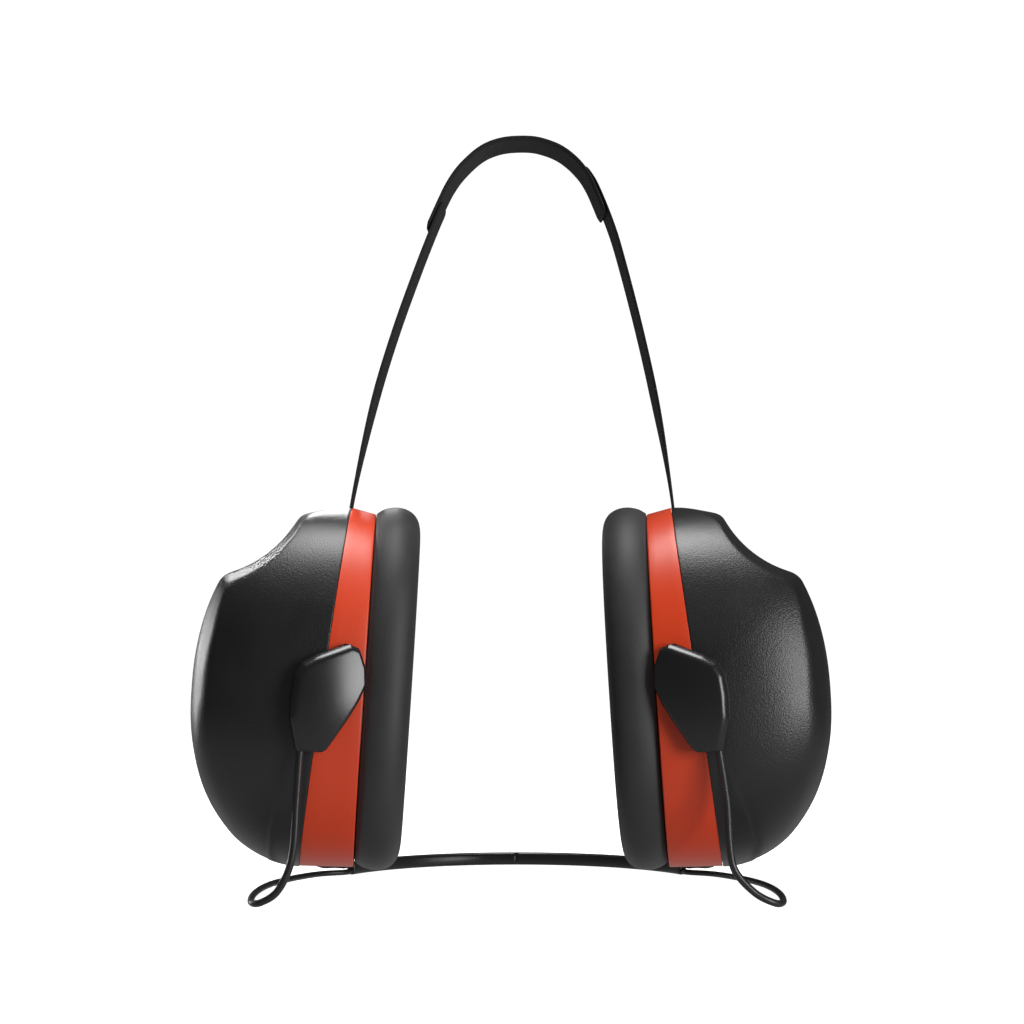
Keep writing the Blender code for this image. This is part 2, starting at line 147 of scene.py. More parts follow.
def capped_solid(name, grid, first, last):
    """A solid from rings of points, closed at each end by a fan to one point."""
    rows, columns = grid.shape[:2]
    points = np.concatenate([grid.reshape(-1, 3), [first, last]])
    faces = list(grid_faces(rows, columns, False, True))
    count = rows * columns
    faces += fan_faces(np.arange(columns), count, False)
    faces += fan_faces(np.arange(count - columns, count), count + 1, True)
    return make_mesh(name, points, faces)


def catmull_span(a, b, c, d, count):
    """Points of a Catmull-Rom curve from b up to, but not at, c."""
    span = []
    for t in np.arange(count) / count:
        bend = (2 * a - 5 * b + 4 * c - d) * t**2 + (3 * b - a - 3 * c + d) * t**3
        span.append(0.5 * (2 * b + (c - a) * t + bend))
    return span


def smooth_path(points, per_span):
    """A Catmull-Rom curve through given points."""
    points = np.asarray(points, float)
    ends = np.concatenate([[2 * points[0] - points[1]], points, [2 * points[-1] - points[-2]]])
    line = []
    for i in range(1, len(ends) - 2):
        line += catmull_span(*ends[i - 1 : i + 3], per_span)
    return np.array(line + [points[-1]])


def smooth_loop(points, per_span):
    """The same kind of curve round a closed line."""
    points = np.asarray(points, float)
    line = []
    for i in range(len(points)):
        line += catmull_span(*(points[(i + k) % len(points)] for k in (-1, 0, 1, 2)), per_span)
    return np.array(line)


def signed_power(value, power):
    return np.sign(value) * np.abs(value) ** power


def split_u(v):
    """The slanted plane between the colour ring and the shell."""
    return SPLIT_U - v * SPLIT_SLOPE


def unit_oval(count):
    """Points (up, across) round an oval of unit size that is fuller than an ellipse."""
    angle = np.linspace(0.0, 2.0 * np.pi, count, endpoint=False)
    return signed_power(np.sin(angle), 2 / OVAL_POWER), signed_power(np.cos(angle), 2 / OVAL_POWER)


def oval(count, top, bottom, depth):
    """Points (v, w) of the cup's oval."""
    up, across = unit_oval(count)
    return WIDEST_V + up * np.where(up > 0, top, bottom), across * depth


def smoothstep(low, high, value):
    t = np.clip((value - low) / (high - low), 0.0, 1.0)
    return t * t * (3.0 - 2.0 * t)


def soft_min(a, b, reach):
    """The lesser of two lengths, rounded where they're within reach of each other."""
    share = np.clip(0.5 + 0.5 * (b - a) / reach, 0.0, 1.0)
    return b + (a - b) * share - reach * share * (1.0 - share)


# ---------------------------------------------------------------- materials


class Shader:
    """A Principled material with the few nodes that the finishes share."""

    def __init__(self, name, colour, roughness, **sockets):
        self.material = bpy.data.materials.new(name)
        self.material.use_nodes = True
        self.nodes = self.material.node_tree.nodes
        self.links = self.material.node_tree.links
        self.shader = self.nodes["Principled BSDF"]
        self.shader.inputs["Base Color"].default_value = (*colour, 1.0)
        self.shader.inputs["Roughness"].default_value = roughness
        for socket, value in sockets.items():
            self.shader.inputs[socket.replace("_", " ")].default_value = value
        self.height = None

    def node(self, kind, settings=None, **inputs):
        made = self.nodes.new(kind)
        for key, value in (settings or {}).items():
            setattr(made, key, value)
        for key, value in inputs.items():
            socket = made.inputs[key.replace("_", " ")]
            if isinstance(value, bpy.types.NodeSocket):
                self.links.new(value, socket)
            else:
                socket.default_value = value
        return made

    def place(self, kind="Object"):
        return self.node("ShaderNodeTexCoord").outputs[kind]

    def noise(self, scale, detail=2.0, roughness=0.5, vector=None):
        vector = vector or self.place()
        made = self.node("ShaderNodeTexNoise", Vector=vector, Scale=scale)
        made.inputs["Detail"].default_value = detail
        made.inputs["Roughness"].default_value = roughness
        return made.outputs["Fac"]

    def spread(self, value, low, high, from_low=0.3, from_high=0.7):
        made = self.node("ShaderNodeMapRange", Value=value)
        limits = {"From Min": from_low, "From Max": from_high, "To Min": low, "To Max": high}
        for key, number in limits.items():
            made.inputs[key].default_value = number
        return made.outputs["Result"]

    def bump(self, height, distance, strength=1.0):
        """Adds one more layer of relief, distance high, over those already there."""
        made = self.node("ShaderNodeBump", Strength=strength, Distance=distance, Height=height)
        if self.height is not None:
            self.links.new(self.height, made.inputs["Normal"])
        self.height = made.outputs["Normal"]
        self.links.new(self.height, self.shader.inputs["Normal"])

    def vary_roughness(self, value, low, high):
        self.links.new(self.spread(value, low, high), self.shader.inputs["Roughness"])

    def vary_colour(self, value, dark, light, from_low=0.3, from_high=0.7):
        ramp = self.node("ShaderNodeValToRGB", Fac=self.spread(value, 0.0, 1.0, from_low, from_high))
        ramp.color_ramp.elements[0].color = (*dark, 1.0)
        ramp.color_ramp.elements[1].color = (*light, 1.0)
        self.links.new(ramp.outputs["Color"], self.shader.inputs["Base Color"])


def grained_plastic(name, dark, light, roughness, grain, depth):
    """Moulded plastic with a fine spark-eroded grain."""
    made = Shader(name, dark, roughness)
    fine = made.noise(grain, 1.0, 0.5)
    broad = made.noise(55.0, 3.0, 0.5)
    made.vary_colour(broad, dark, light)
    made.vary_roughness(broad, roughness - 0.03, roughness + 0.04)
    made.bump(fine, depth)
    return made.material


def satin_plastic(name, dark, light, roughness, depth=0.00001):
    """Smooth moulded plastic, with only the slight waviness of its mould."""
    made = Shader(name, dark, roughness)
    broad = made.noise(40.0, 2.0, 0.5)
    fine = made.noise(2600.0, 2.0, 0.5)
    made.vary_colour(broad, dark, light)
    made.vary_roughness(broad, roughness - 0.03, roughness + 0.03)
    made.bump(broad, 0.00003)
    made.bump(fine, depth)
    return made.material


def soft_skin(name):
    """Thin vinyl over foam, with a faint leather grain."""
    gloss = {"Specular_IOR_Level": 0.35, "Sheen_Weight": 0.04, "Sheen_Roughness": 0.4}
    made = Shader(name, (0.03, 0.03, 0.031), 0.55, **gloss)
    cells = made.node(
        "ShaderNodeTexVoronoi",
        {"feature": "SMOOTH_F1"},
        Vector=made.place(),
        Scale=1500.0,
        Smoothness=0.6,
    ).outputs["Distance"]
    broad = made.noise(70.0, 3.0, 0.5)
    made.vary_colour(broad, (0.028, 0.028, 0.029), (0.036, 0.036, 0.037))
    made.vary_roughness(broad, 0.52, 0.60)
    made.bump(broad, 0.00012)
    made.bump(cells, 0.000018)
    return made.material


def foam_cells(name):
    made = Shader(name, (0.05, 0.05, 0.052), 0.95, Specular_IOR_Level=0.2)
    place = made.place()
    cells = made.node("ShaderNodeTexVoronoi", Vector=place, Scale=1100.0).outputs["Distance"]
    large = made.node("ShaderNodeTexVoronoi", Vector=place, Scale=420.0).outputs["Distance"]
    made.vary_colour(cells, (0.10, 0.10, 0.104), (0.028, 0.028, 0.030), 0.1, 0.6)
    made.bump(large, 0.0004)
    made.bump(cells, 0.0003)
    return made.material


def woven_tape(name):
    """Twill webbing. Its UV map runs in metres, across the strip and along it."""
    made = Shader(name, (0.012, 0.012, 0.0125), 0.8, Specular_IOR_Level=0.3, Sheen_Weight=0.03)
    flat = made.place("UV")
    waves = []
    for turn, scale in ((0.9, 620.0), (-0.75, 900.0)):
        mapping = made.node("ShaderNodeMapping", Vector=flat)
        mapping.inputs["Rotation"].default_value = (0.0, 0.0, turn)
        turned = mapping.outputs["Vector"]
        wave = made.node("ShaderNodeTexWave", {"wave_profile": "SIN"}, Vector=turned, Scale=scale)
        wave.inputs["Distortion"].default_value = 0.4
        wave.inputs["Detail Scale"].default_value = 2.0
        waves.append(wave.outputs["Fac"])
    fibres = made.noise(5200.0, 2.0, 0.6)
    made.vary_colour(waves[0], (0.0095, 0.0095, 0.01), (0.014, 0.014, 0.0145), 0.1, 0.9)
    made.bump(waves[1], 0.00004)
    made.bump(waves[0], 0.00008)
    made.bump(fibres, 0.00002)
    return made.material


def coated_wire(name):
    """Spring wire in a satin black coat, a little wavy as dipped coats are."""
    made = Shader(name, (0.013, 0.013, 0.0135), 0.38)
    made.vary_roughness(made.noise(300.0, 2.0, 0.5), 0.34, 0.42)
    made.bump(made.noise(500.0, 2.0, 0.5), 0.00002)
    return made.material


def turned_steel(name):
    made = Shader(name, (0.55, 0.55, 0.56), 0.3, Metallic=1.0)
    rings = {"wave_type": "RINGS", "rings_direction": "Y"}
    lines = made.node("ShaderNodeTexWave", rings, Vector=made.place(), Scale=900.0)
    made.vary_roughness(lines.outputs["Fac"], 0.24, 0.36)
    made.bump(lines.outputs["Fac"], 0.000005)
    return made.material


FINISH = {
    "shell_plastic": grained_plastic(
        "shell_plastic", (0.0085, 0.0085, 0.0088), (0.011, 0.011, 0.0113), 0.37, 2300.0, 0.00007
    ),
    "cushion_skin": soft_skin("cushion_skin"),
    "foam": foam_cells("foam"),
    "coated_wire": coated_wire("coated_wire"),
    "webbing": woven_tape("webbing"),
    "pin_steel": turned_steel("pin_steel"),
}
for slot, dark, light, roughness in (
    ("ring_plastic", (0.60, 0.042, 0.006), (0.64, 0.046, 0.007), 0.42),
    ("satin_plastic", (0.014, 0.014, 0.015), (0.018, 0.018, 0.019), 0.45),
    ("cover_plastic", (0.0105, 0.0105, 0.011), (0.013, 0.013, 0.0135), 0.25),
    ("sleeve_plastic", (0.012, 0.012, 0.0125), (0.016, 0.016, 0.0165), 0.3),
):
    FINISH[slot] = satin_plastic(slot, dark, light, roughness)


def dress(piece, slot, *nodes):
    """Gives a piece its finish and hides the CAD nodes that it stands for."""
    piece.data.materials.clear()
    piece.data.materials.append(FINISH[slot])
    if nodes:
        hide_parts(*nodes)


# ---------------------------------------------------------------- cup shell

SHELL_AROUND = 320
SHELL_ROWS = 150
SHELL_WALL = 3.0
EDGE_POWER = 2.22
SIDE_POWER = 3.0
WALL_POWER = 2.6
WALL_CROWN = 13.0
OUTER_FACE_RADIUS = 400.0
SCOOP_CORNER = 2.0
REACH = 45.0
RIM_ROUND = 0.15
RIM_GAP = 0.08
TONGUE = 1.0
TONGUE_INSET = 1.4
TONGUE_CHAMFER = 0.1
INNER_ROWS = 40
RAY_LIMITS = (0.2, 2.2)
# How near the rows come to the crown, as angles: the outer skin and the inner one
CROWN_STOPS = (0.012, 0.02)
# The softened chamfer between side wall and outer face, by height: its width and its blur
CHAMFER_WIDTHS = ((-45.0, -25.0, -5.0, 14.0, 27.0, 32.0), (0.6, 2.6, 5.4, 5.4, 3.0, 2.6))
CHAMFER_BLURS = ((-45.0, -22.0, 0.0, 14.0, 24.0), (1.0, 3.0, 1.8, 1.0, 0.35))
CHAMFER_FROM_RIM = 14.0
# The raised lip along the lower rim
LIP_HEIGHT = 0.2
LIP_WIDTHS = (3.0, 9.0)
LIP_FADE = 0.9


def outline_distance(u, v):
    """How far a point lies outside the cup's outline as seen from the front."""
    high = v > WIDEST_V
    start = split_u(np.where(high, WIDEST_V + CUP_TOP, WIDEST_V - CUP_BOTTOM))
    length = CROWN_U - start
    height = np.where(high, CUP_TOP, CUP_BOTTOM)
    x = np.maximum(u - start, 0.01) / length
    y = np.abs(v - WIDEST_V) / height + 1e-6
    rate = (x**EDGE_POWER + y**EDGE_POWER) ** (1.0 / EDGE_POWER)
    slope = rate ** (1.0 - EDGE_POWER) * np.hypot(
        x ** (EDGE_POWER - 1.0) / length, y ** (EDGE_POWER - 1.0) / height
    )
    return (rate - 1.0) / slope


def scoop_depth(u, v):
    """How far a point lies inside the round scoop."""
    return SCOOP_RADIUS - np.hypot(u - SCOOP_U, v - SCOOP_V)


def outer_face(u, v, w):
    """The domed outer face with the scoop in it: above zero outside."""
    outline = -soft_min(-outline_distance(u, v), -scoop_depth(u, v), SCOOP_CORNER)
    return outline + w**2 / (2.0 * OUTER_FACE_RADIUS)


def side_wall(u, v, w):
    """The wall that runs from the ring's oval to the outer face: above zero outside."""
    flat = smoothstep(-45.0, -5.0, v)
    height = np.where(v > WIDEST_V, CUP_TOP, CUP_BOTTOM)
    spread = (np.abs(v - WIDEST_V) / height) ** OVAL_POWER + (np.abs(w) / CUP_DEPTH) ** OVAL_POWER
    spread = (spread + 1e-9) ** (1.0 / OVAL_POWER)
    share = (w / CUP_DEPTH) ** 2 / spread**2
    round_power = EDGE_POWER + (SIDE_POWER - EDGE_POWER) * share
    power = round_power + (WALL_POWER - round_power) * flat
    length = CROWN_U + WALL_CROWN * flat - split_u(v)
    x = np.maximum(u - split_u(v) - RIM_GAP, 0.0) / length
    return (x**power + spread**power) ** (1.0 / power) - 1.0


def first_crossing(surface, low, high):
    """The multiple of each ray at which it leaves a surface, by halving."""
    low, high = np.full_like(high, low), high.copy()
    for _ in range(40):
        middle = 0.5 * (low + high)
        inside = surface(middle) < 0.0
        low = np.where(inside, middle, low)
        high = np.where(inside, high, middle)
    return 0.5 * (low + high)


def edge_cut(wall, face, v, x):
    """The lesser of the two lengths, with a softened chamfer where wall and outer face meet."""
    start = smoothstep(0.0, CHAMFER_FROM_RIM, x)
    chamfer = 0.5 * (wall + face - np.interp(v, *CHAMFER_WIDTHS) * start)
    blur = 0.1 + np.interp(v, *CHAMFER_BLURS) * start
    return soft_min(wall, soft_min(face, chamfer, blur), blur)


def shell_points(turns, inset):
    """The shell's skin as rows from its rim to its crown: u, v and w, each rows x around."""
    up, across = unit_oval(SHELL_AROUND)
    base_v = up * np.where(up > 0, CUP_TOP, CUP_BOTTOM)
    base_w = across * CUP_DEPTH
    out = REACH * np.sin(turns)[:, None] * np.ones(SHELL_AROUND)
    rise = base_v * np.cos(turns)[:, None]
    aside = base_w * np.cos(turns)[:, None]

    def at(t):
        v = WIDEST_V + rise * t
        return split_u(v) + RIM_GAP + out * t, v, aside * t

    length = np.sqrt(out**2 + rise**2 + aside**2)
    shortest, longest = RAY_LIMITS
    limit = np.full_like(length, longest)
    wall = first_crossing(lambda t: side_wall(*at(t)), shortest, limit) * length
    face = first_crossing(lambda t: outer_face(*at(t)), shortest, limit) * length
    nearest = np.minimum(wall, face) / length
    edge = edge_cut(wall, face, at(nearest)[1], out * nearest)
    return at((edge - inset) / length)


def lip_relief(u, v):
    """A shallow raised lip along the lower rim, in millimetres."""
    low = smoothstep(-12.0, -42.0, v)
    width = LIP_WIDTHS[0] + (LIP_WIDTHS[1] - LIP_WIDTHS[0]) * low
    return LIP_HEIGHT * low * smoothstep(width + LIP_FADE, width, u - split_u(v))


def build_shell(prefix, side):
    """The shell's skin from its inner crown, round the tongue at its rim, to its outer crown."""
    least = math.asin(RIM_ROUND / REACH)
    outer_stop, inner_stop = (0.5 * math.pi - stop for stop in CROWN_STOPS)
    turns = least + (outer_stop - least) * np.linspace(0.0, 1.0, SHELL_ROWS)
    u, v, w = shell_points(turns, 0.0)
    relief = lip_relief(u, v)
    size = np.hypot(v - WIDEST_V, w) + 1e-6
    v, w = v + relief * (v - WIDEST_V) / size, w + relief * w / size
    outer = np.stack([u, v, w], -1)
    inner = np.stack(shell_points(np.linspace(inner_stop, 0.0, INNER_ROWS), SHELL_WALL), -1)
    rim = []
    for inset, lift in (
        (SHELL_WALL - TONGUE_CHAMFER, -TONGUE), (TONGUE_INSET + TONGUE_CHAMFER, -TONGUE),
        (TONGUE_INSET, 0.0), (RIM_ROUND, 0.0), (0.3 * RIM_ROUND, 0.3 * RIM_ROUND),
    ):
        row = outer[0].copy()
        size = np.hypot(row[:, 1] - WIDEST_V, row[:, 2])
        row[:, 1] -= inset * (row[:, 1] - WIDEST_V) / size
        row[:, 2] -= inset * row[:, 2] / size
        row[:, 0] = split_u(row[:, 1]) + RIM_GAP + lift
        rim.append(row)
    grid = np.concatenate([inner, rim, outer])
    points = from_cup(side, grid[..., 0], grid[..., 1], grid[..., 2])
    first, last = points[0].mean(0), points[-1].mean(0)
    shell = capped_solid(prefix + "shell_skin", points, first, last)
    dress(shell, "shell_plastic", prefix + "cup_shell")
    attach(shell, prefix + "cup")


# ---------------------------------------------------------------- ring, seal plate and cushion

AROUND = 288
RING_WALL = 3.0
RING_RADII = (0.45, 0.12, 0.12, 0.12, 0.2, 0.3)
STEP_ASIDE = 0.15
STEP_BELOW = 0.1
PLATE_U = (13.6, 15.6)
PLATE_ROOM = 4.8
PLATE_RADIUS = 0.4
EAR_OPENING = (33.0, 27.0, 20.5)
FOAM_U = (34.0, 50.0)
FOAM_MIDDLE_U = 42.0
FOAM_SIZE = (28.0, 30.0, 26.0)


def rounded_section(corners, radii, per_side):
    """A closed section with rounded corners; each corner is an array of points round the cup."""
    rows = []
    count = len(corners)
    for k in range(count):
        before, here, after = corners[k - 1], corners[k], corners[(k + 1) % count]
        back = before - here
        forth = after - here
        back = back / np.linalg.norm(back, axis=-1, keepdims=True)
        forth_length = np.linalg.norm(forth, axis=-1, keepdims=True)
        forth = forth / forth_length
        for a, b in ((1.0, 0.0), (0.5, 0.08), (0.22, 0.22), (0.08, 0.5), (0.0, 1.0)):
            rows.append(here + (back * a + forth * b) * radii[k] * MM)
        for step in range(1, per_side):
            start = here + forth * radii[k] * MM
            end = after - forth * radii[(k + 1) % count] * MM
            rows.append(start + (end - start) * step / per_side)
    return np.array(rows)


def cup_ring(side, top, bottom, depth, station):
    """World points round the cup's oval at one station, or at a station that varies with v."""
    v, w = oval(AROUND, top, bottom, depth)
    u = station(v) if callable(station) else np.full_like(v, station)
    return from_cup(side, u, v, w)


def build_ring(prefix, side):
    """The coloured ring, with a step inside its outer edge for the shell's tongue."""
    low = (CUP_TOP - 1.5, CUP_BOTTOM - 0.5, CUP_DEPTH - 0.6)
    high = (CUP_TOP, CUP_BOTTOM, CUP_DEPTH)
    step = [size - TONGUE_INSET + STEP_ASIDE for size in high]

    def step_u(v):
        return split_u(v) - TONGUE - STEP_BELOW

    corners = [
        cup_ring(side, *low, RING_U),
        cup_ring(side, *high, split_u),
        cup_ring(side, *step, split_u),
        cup_ring(side, *step, step_u),
        cup_ring(side, *(size - RING_WALL for size in high), step_u),
        cup_ring(side, *(size - RING_WALL for size in low), RING_U),
    ]
    ring = loop_solid(prefix + "ring_skin", rounded_section(corners, RING_RADII, 4))
    dress(ring, "ring_plastic", prefix + "colour_ring")
    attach(ring, prefix + "cup")


def build_plate(prefix, side):
    """The plate inside the ring, with the ear opening."""
    outer = (CUP_TOP - PLATE_ROOM, CUP_BOTTOM - PLATE_ROOM + 1.0, CUP_DEPTH - PLATE_ROOM + 0.6)
    head_side, far_side = PLATE_U
    corners = [
        cup_ring(side, *outer, head_side),
        cup_ring(side, *outer, far_side),
        cup_ring(side, *EAR_OPENING, far_side),
        cup_ring(side, *EAR_OPENING, head_side),
    ]
    plate = loop_solid(prefix + "plate_skin", rounded_section(corners, (PLATE_RADIUS,) * 4, 3))
    dress(plate, "satin_plastic", prefix + "seal_plate")
    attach(plate, prefix + "cup")


# The cushion's section: how far in from its outline, and how far out from the head
CUSHION_PROFILE = (
    (3.0, 13.15), (1.6, 12.3), (0.6, 10.6), (0.0, 8.0), (0.1, 5.6), (0.8, 3.5), (2.1, 1.8),
    (4.2, 0.6), (7.0, 0.05), (10.5, -0.05), (14.5, 0.05), (17.6, 0.7), (19.8, 2.4), (20.9, 5.0),
    (21.0, 8.0), (20.8, 11.0), (19.4, 13.0), (11.0, 13.15),
)
# The cushion's slight unevenness: its waves round the cup, and their random starts
FULL_TURN = 6.28
PUCKER_COUNTS = (23, 31, 41, 57)
PUCKER_HEIGHT = 0.16
WAVE_COUNTS = (3, 5, 8)
WAVE_HEIGHT = 0.05


def build_cushion(prefix, side):
    """The soft ring: a vinyl skin over foam, with slight puckers on its inner wall."""
    section = smooth_loop(CUSHION_PROFILE, 4)
    angle = np.linspace(0.0, 2.0 * np.pi, AROUND, endpoint=False)
    rng = np.random.default_rng(7 + side)
    pucker = np.zeros(AROUND)
    for count in PUCKER_COUNTS:
        pucker += rng.uniform(0.4, 1.0) * np.sin(count * angle + rng.uniform(0.0, FULL_TURN))
    wave = np.zeros(AROUND)
    for count in WAVE_COUNTS:
        wave += rng.uniform(0.4, 1.0) * np.sin(count * angle + rng.uniform(0.0, FULL_TURN))
    rows = []
    for inset, station in section:
        inner = smoothstep(14.0, 19.5, inset)
        near_seam = smoothstep(5.0, 12.0, station)
        shift = PUCKER_HEIGHT * pucker * inner * near_seam + WAVE_HEIGHT * wave * (1.0 - inner)
        v, w = oval(AROUND, CUP_TOP + 0.9 - inset, CUP_BOTTOM - inset, CUP_DEPTH - 0.5 - inset)
        size = np.hypot(v - WIDEST_V, w)
        v, w = v + shift * (v - WIDEST_V) / size, w + shift * w / size
        rows.append(from_cup(side, np.full_like(v, station), v, w))
    cushion = loop_solid(prefix + "cushion_skin", np.array(rows))
    dress(cushion, "cushion_skin", prefix + "ear_cushion")
    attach(cushion, prefix + "cup")


def build_foam(prefix, side):
    """The foam block inside the cup, with soft edges and a face that bulges a little."""
    low, high = FOAM_U
    rows = []
    for inset, station in (
        (8.0, low - 0.4), (4.0, low - 0.2), (1.4, low + 0.3), (0.3, low + 1.4), (0.0, low + 3.5),
        (0.0, FOAM_MIDDLE_U), (0.0, high - 3.0), (0.5, high - 1.0), (2.0, high), (9.0, high),
    ):
        v, w = oval(AROUND // 2, *(size - inset for size in FOAM_SIZE))
        rows.append(from_cup(side, np.full_like(v, station), v, w))
    grid = np.array(rows)
    foam = capped_solid(prefix + "foam_block", grid, grid[0].mean(0), grid[-1].mean(0))
    dress(foam, "foam", prefix + "foam_liner")
    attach(foam, prefix + "cup")


# ---------------------------------------------------------------- pivot covers

COVER_BACK = 43.5
COVER_FRONT = 48.5
COVER_CORNERS = (
    (18.7, 11.9), (15.1, 10.5), (13.0, 5.2), (12.6, 0.6), (14.6, -4.4), (17.1, -9.0),
    (22.2, -17.4), (23.5, -18.3), (30.2, -18.3), (31.2, -17.2), (33.1, -9.6),
    (33.2, -3.0), (32.6, 2.6), (30.8, 6.0), (27.2, 8.2),
)
COVER_CENTRE = np.array((23.5, -3.5))
COVER_TILT = 0.2
COVER_CROWNS = (0.009, 0.006)
COVER_CORNER_RADIUS = 0.8
COVER_LEAST = 0.8
# The roundness of the cover's edges: the least, and what an edge that faces out and up adds
EDGE_SOFTNESS = (0.9, 2.3)


def rounded_corners(corners, radius, per_side):
    """A closed outline with each corner rounded, and evenly spaced points between."""
    corners = np.asarray(corners, float)
    line = []
    count = len(corners)
    for k in range(count):
        before, here, after = corners[k - 1], corners[k], corners[(k + 1) % count]
        back, forth = before - here, after - here
        reach = min(radius, 0.42 * np.linalg.norm(back), 0.42 * np.linalg.norm(forth))
        start = here + back / np.linalg.norm(back) * reach
        end = here + forth / np.linalg.norm(forth) * reach
        for t in np.linspace(0.0, 1.0, 6):
            line.append((1 - t) ** 2 * start + 2 * t * (1 - t) * here + t**2 * end)
        next_reach = min(radius, 0.42 * np.linalg.norm(forth))
        stop = after - forth / np.linalg.norm(forth) * next_reach
        for t in np.arange(1, per_side) / per_side:
            line.append(end + (stop - end) * t)
    return np.array(line)


def edge_drop(u, v):
    """How far the cover's face has rounded down towards its edges, the outer ones more softly."""
    corners = np.array(COVER_CORNERS)
    drop = np.zeros_like(u)
    for here, after in zip(corners, np.roll(corners, -1, 0)):
        along = (after - here) / np.linalg.norm(after - here)
        outward = np.array((-along[1], along[0]))
        if outward @ (COVER_CENTRE - here) > 0.0:
            outward = -outward
        faces_out = smoothstep(-0.1, 0.75, 0.85 * outward[0] + 0.55 * outward[1])
        softness = EDGE_SOFTNESS[0] + EDGE_SOFTNESS[1] * float(faces_out)
        depth = -((u - here[0]) * outward[0] + (v - here[1]) * outward[1])
        near = np.clip(1.0 - depth / softness, 0.0, 1.0)
        fall = softness * (1.0 - np.sqrt(1.0 - near**2))
        drop = -soft_min(-drop, -fall, 0.12)
    return drop


def cover_face(u, v):
    """Height of the cover's crowned face, which falls a little towards the head."""
    off_u, off_v = u - COVER_CENTRE[0], v - COVER_CENTRE[1]
    crown = COVER_CROWNS[0] * off_u**2 + COVER_CROWNS[1] * off_v**2
    return COVER_FRONT + COVER_TILT * off_u - crown - edge_drop(u, v)


def build_cover(prefix, side, end, label):
    """One shield over a pivot; end is -1 at the front of the cup and 1 at its rear."""
    line = rounded_corners(COVER_CORNERS, COVER_CORNER_RADIUS, 6)
    rim_height = np.clip(cover_face(line[:, 0], line[:, 1]), COVER_BACK + COVER_LEAST, None)
    rows = []
    for share, lift in ((0.975, 0.0), (1.0, 0.35)):
        at = COVER_CENTRE + (line - COVER_CENTRE) * share
        rows.append(np.stack([at[:, 0], at[:, 1], np.full(len(at), COVER_BACK + lift)], -1))
    rows.append(np.stack([line[:, 0], line[:, 1], rim_height], -1))
    for step in np.linspace(0.0, 0.9, 30)[1:]:
        at = COVER_CENTRE + (line - COVER_CENTRE) * (1.0 - step**1.8)
        rows.append(np.stack([at[:, 0], at[:, 1], cover_face(at[:, 0], at[:, 1])], -1))
    grid = np.array(rows)
    points = from_cup(side, grid[..., 0], grid[..., 1], end * grid[..., 2])
    centre_height = cover_face(COVER_CENTRE[:1], COVER_CENTRE[1:])[0]
    last = from_cup(side, COVER_CENTRE[0], COVER_CENTRE[1], end * centre_height)
    cover = capped_solid(prefix + label + "_cover_skin", points, points[0].mean(0), last)
    dress(cover, "cover_plastic", prefix + label + "_pivot_cover")
    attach(cover, prefix + "arm")


# ---------------------------------------------------------------- wires and sleeve

SLEEVE_RADIUS = 58.6
SLEEVE_CENTRE_Y = 10.4
SLEEVE_END_X = 51.5
SLEEVE_HALF = (1.4, 2.0)
SLEEVE_SQUARENESS = 0.55
BAND_SWAY = 1.5
SWAY_FROM_Z = -49.0
SWAY_FULL_Z = -57.5
SLEEVE_Z = -57.0
FRONT_WIRE_Z = -57.9
REAR_WIRE_Z = -55.9
WIRE_BEFORE_SLEEVE = 4.0
WIRE_RADII = ((0.0, 0.25, 0.5, 1.0), (1.12, 1.05, 0.96, 0.84))
# The first two points of each wire, where it sits in its covers: u and v in the cup
WIRE_SEAT = ((28.6, -8.0), (29.4, -17.8))
WIRE_SEAT_W = 46.15
FRONT_ROUTE = (
    (58.7, -47.6, -30.0), (59.4, -47.6, -42.0), (60.9, -47.6, -49.0), (65.1, -47.6, -54.8),
    (69.9, -46.9, -57.6), (72.7, -43.4, -58.0), (74.1, -32.0, -57.9), (74.4, -18.0, -57.9),
    (73.5, -5.0, -57.9), (71.2, 7.0, -57.9), (66.7, 19.5, -57.9), (60.5, 30.0, -57.9),
)
REAR_ROUTE = (
    (63.4, 44.6, -31.0), (64.0, 44.4, -42.0), (64.0, 43.2, -49.8), (62.7, 40.2, -54.8),
    (59.9, 37.4, -56.0), (56.2, 36.4, -55.9),
)


def tube(name, path, radii, around=20):
    """A round tube along a path, with a radius at each point and domed ends."""
    along = np.gradient(path, axis=0)
    along /= np.linalg.norm(along, axis=1, keepdims=True)
    side = np.cross(along[0], (0.3, 0.5, 0.8))
    angle = np.linspace(0.0, 2.0 * np.pi, around, endpoint=False)
    rows = []
    for point, direction, radius in zip(path, along, radii):
        side = side - direction * side.dot(direction)
        side /= np.linalg.norm(side)
        other = np.cross(direction, side)
        ring = np.cos(angle)[:, None] * side + np.sin(angle)[:, None] * other
        rows.append(point + ring * radius)
    first = path[0] - along[0] * radii[0] * 0.3
    last = path[-1] + along[-1] * radii[-1] * 0.3
    return capped_solid(name, np.array(rows), first, last)


def band_points(side, route):
    """Points of the neckband, which stands a little to the right of the cups."""
    route = np.array(route)
    share = np.clip((SWAY_FROM_Z - route[:, 2]) / (SWAY_FROM_Z - SWAY_FULL_Z), 0.0, 1.0)
    route[:, 0] = side * route[:, 0] + BAND_SWAY * share
    return headset_points(route)


def sleeve_line(angle, height):
    """Points along the middle of the sleeve's arc, at a height."""
    x = SLEEVE_RADIUS * np.sin(angle) + BAND_SWAY
    y = SLEEVE_CENTRE_Y + SLEEVE_RADIUS * np.cos(angle)
    return headset_points(np.stack(np.broadcast_arrays(x, y, height), -1))


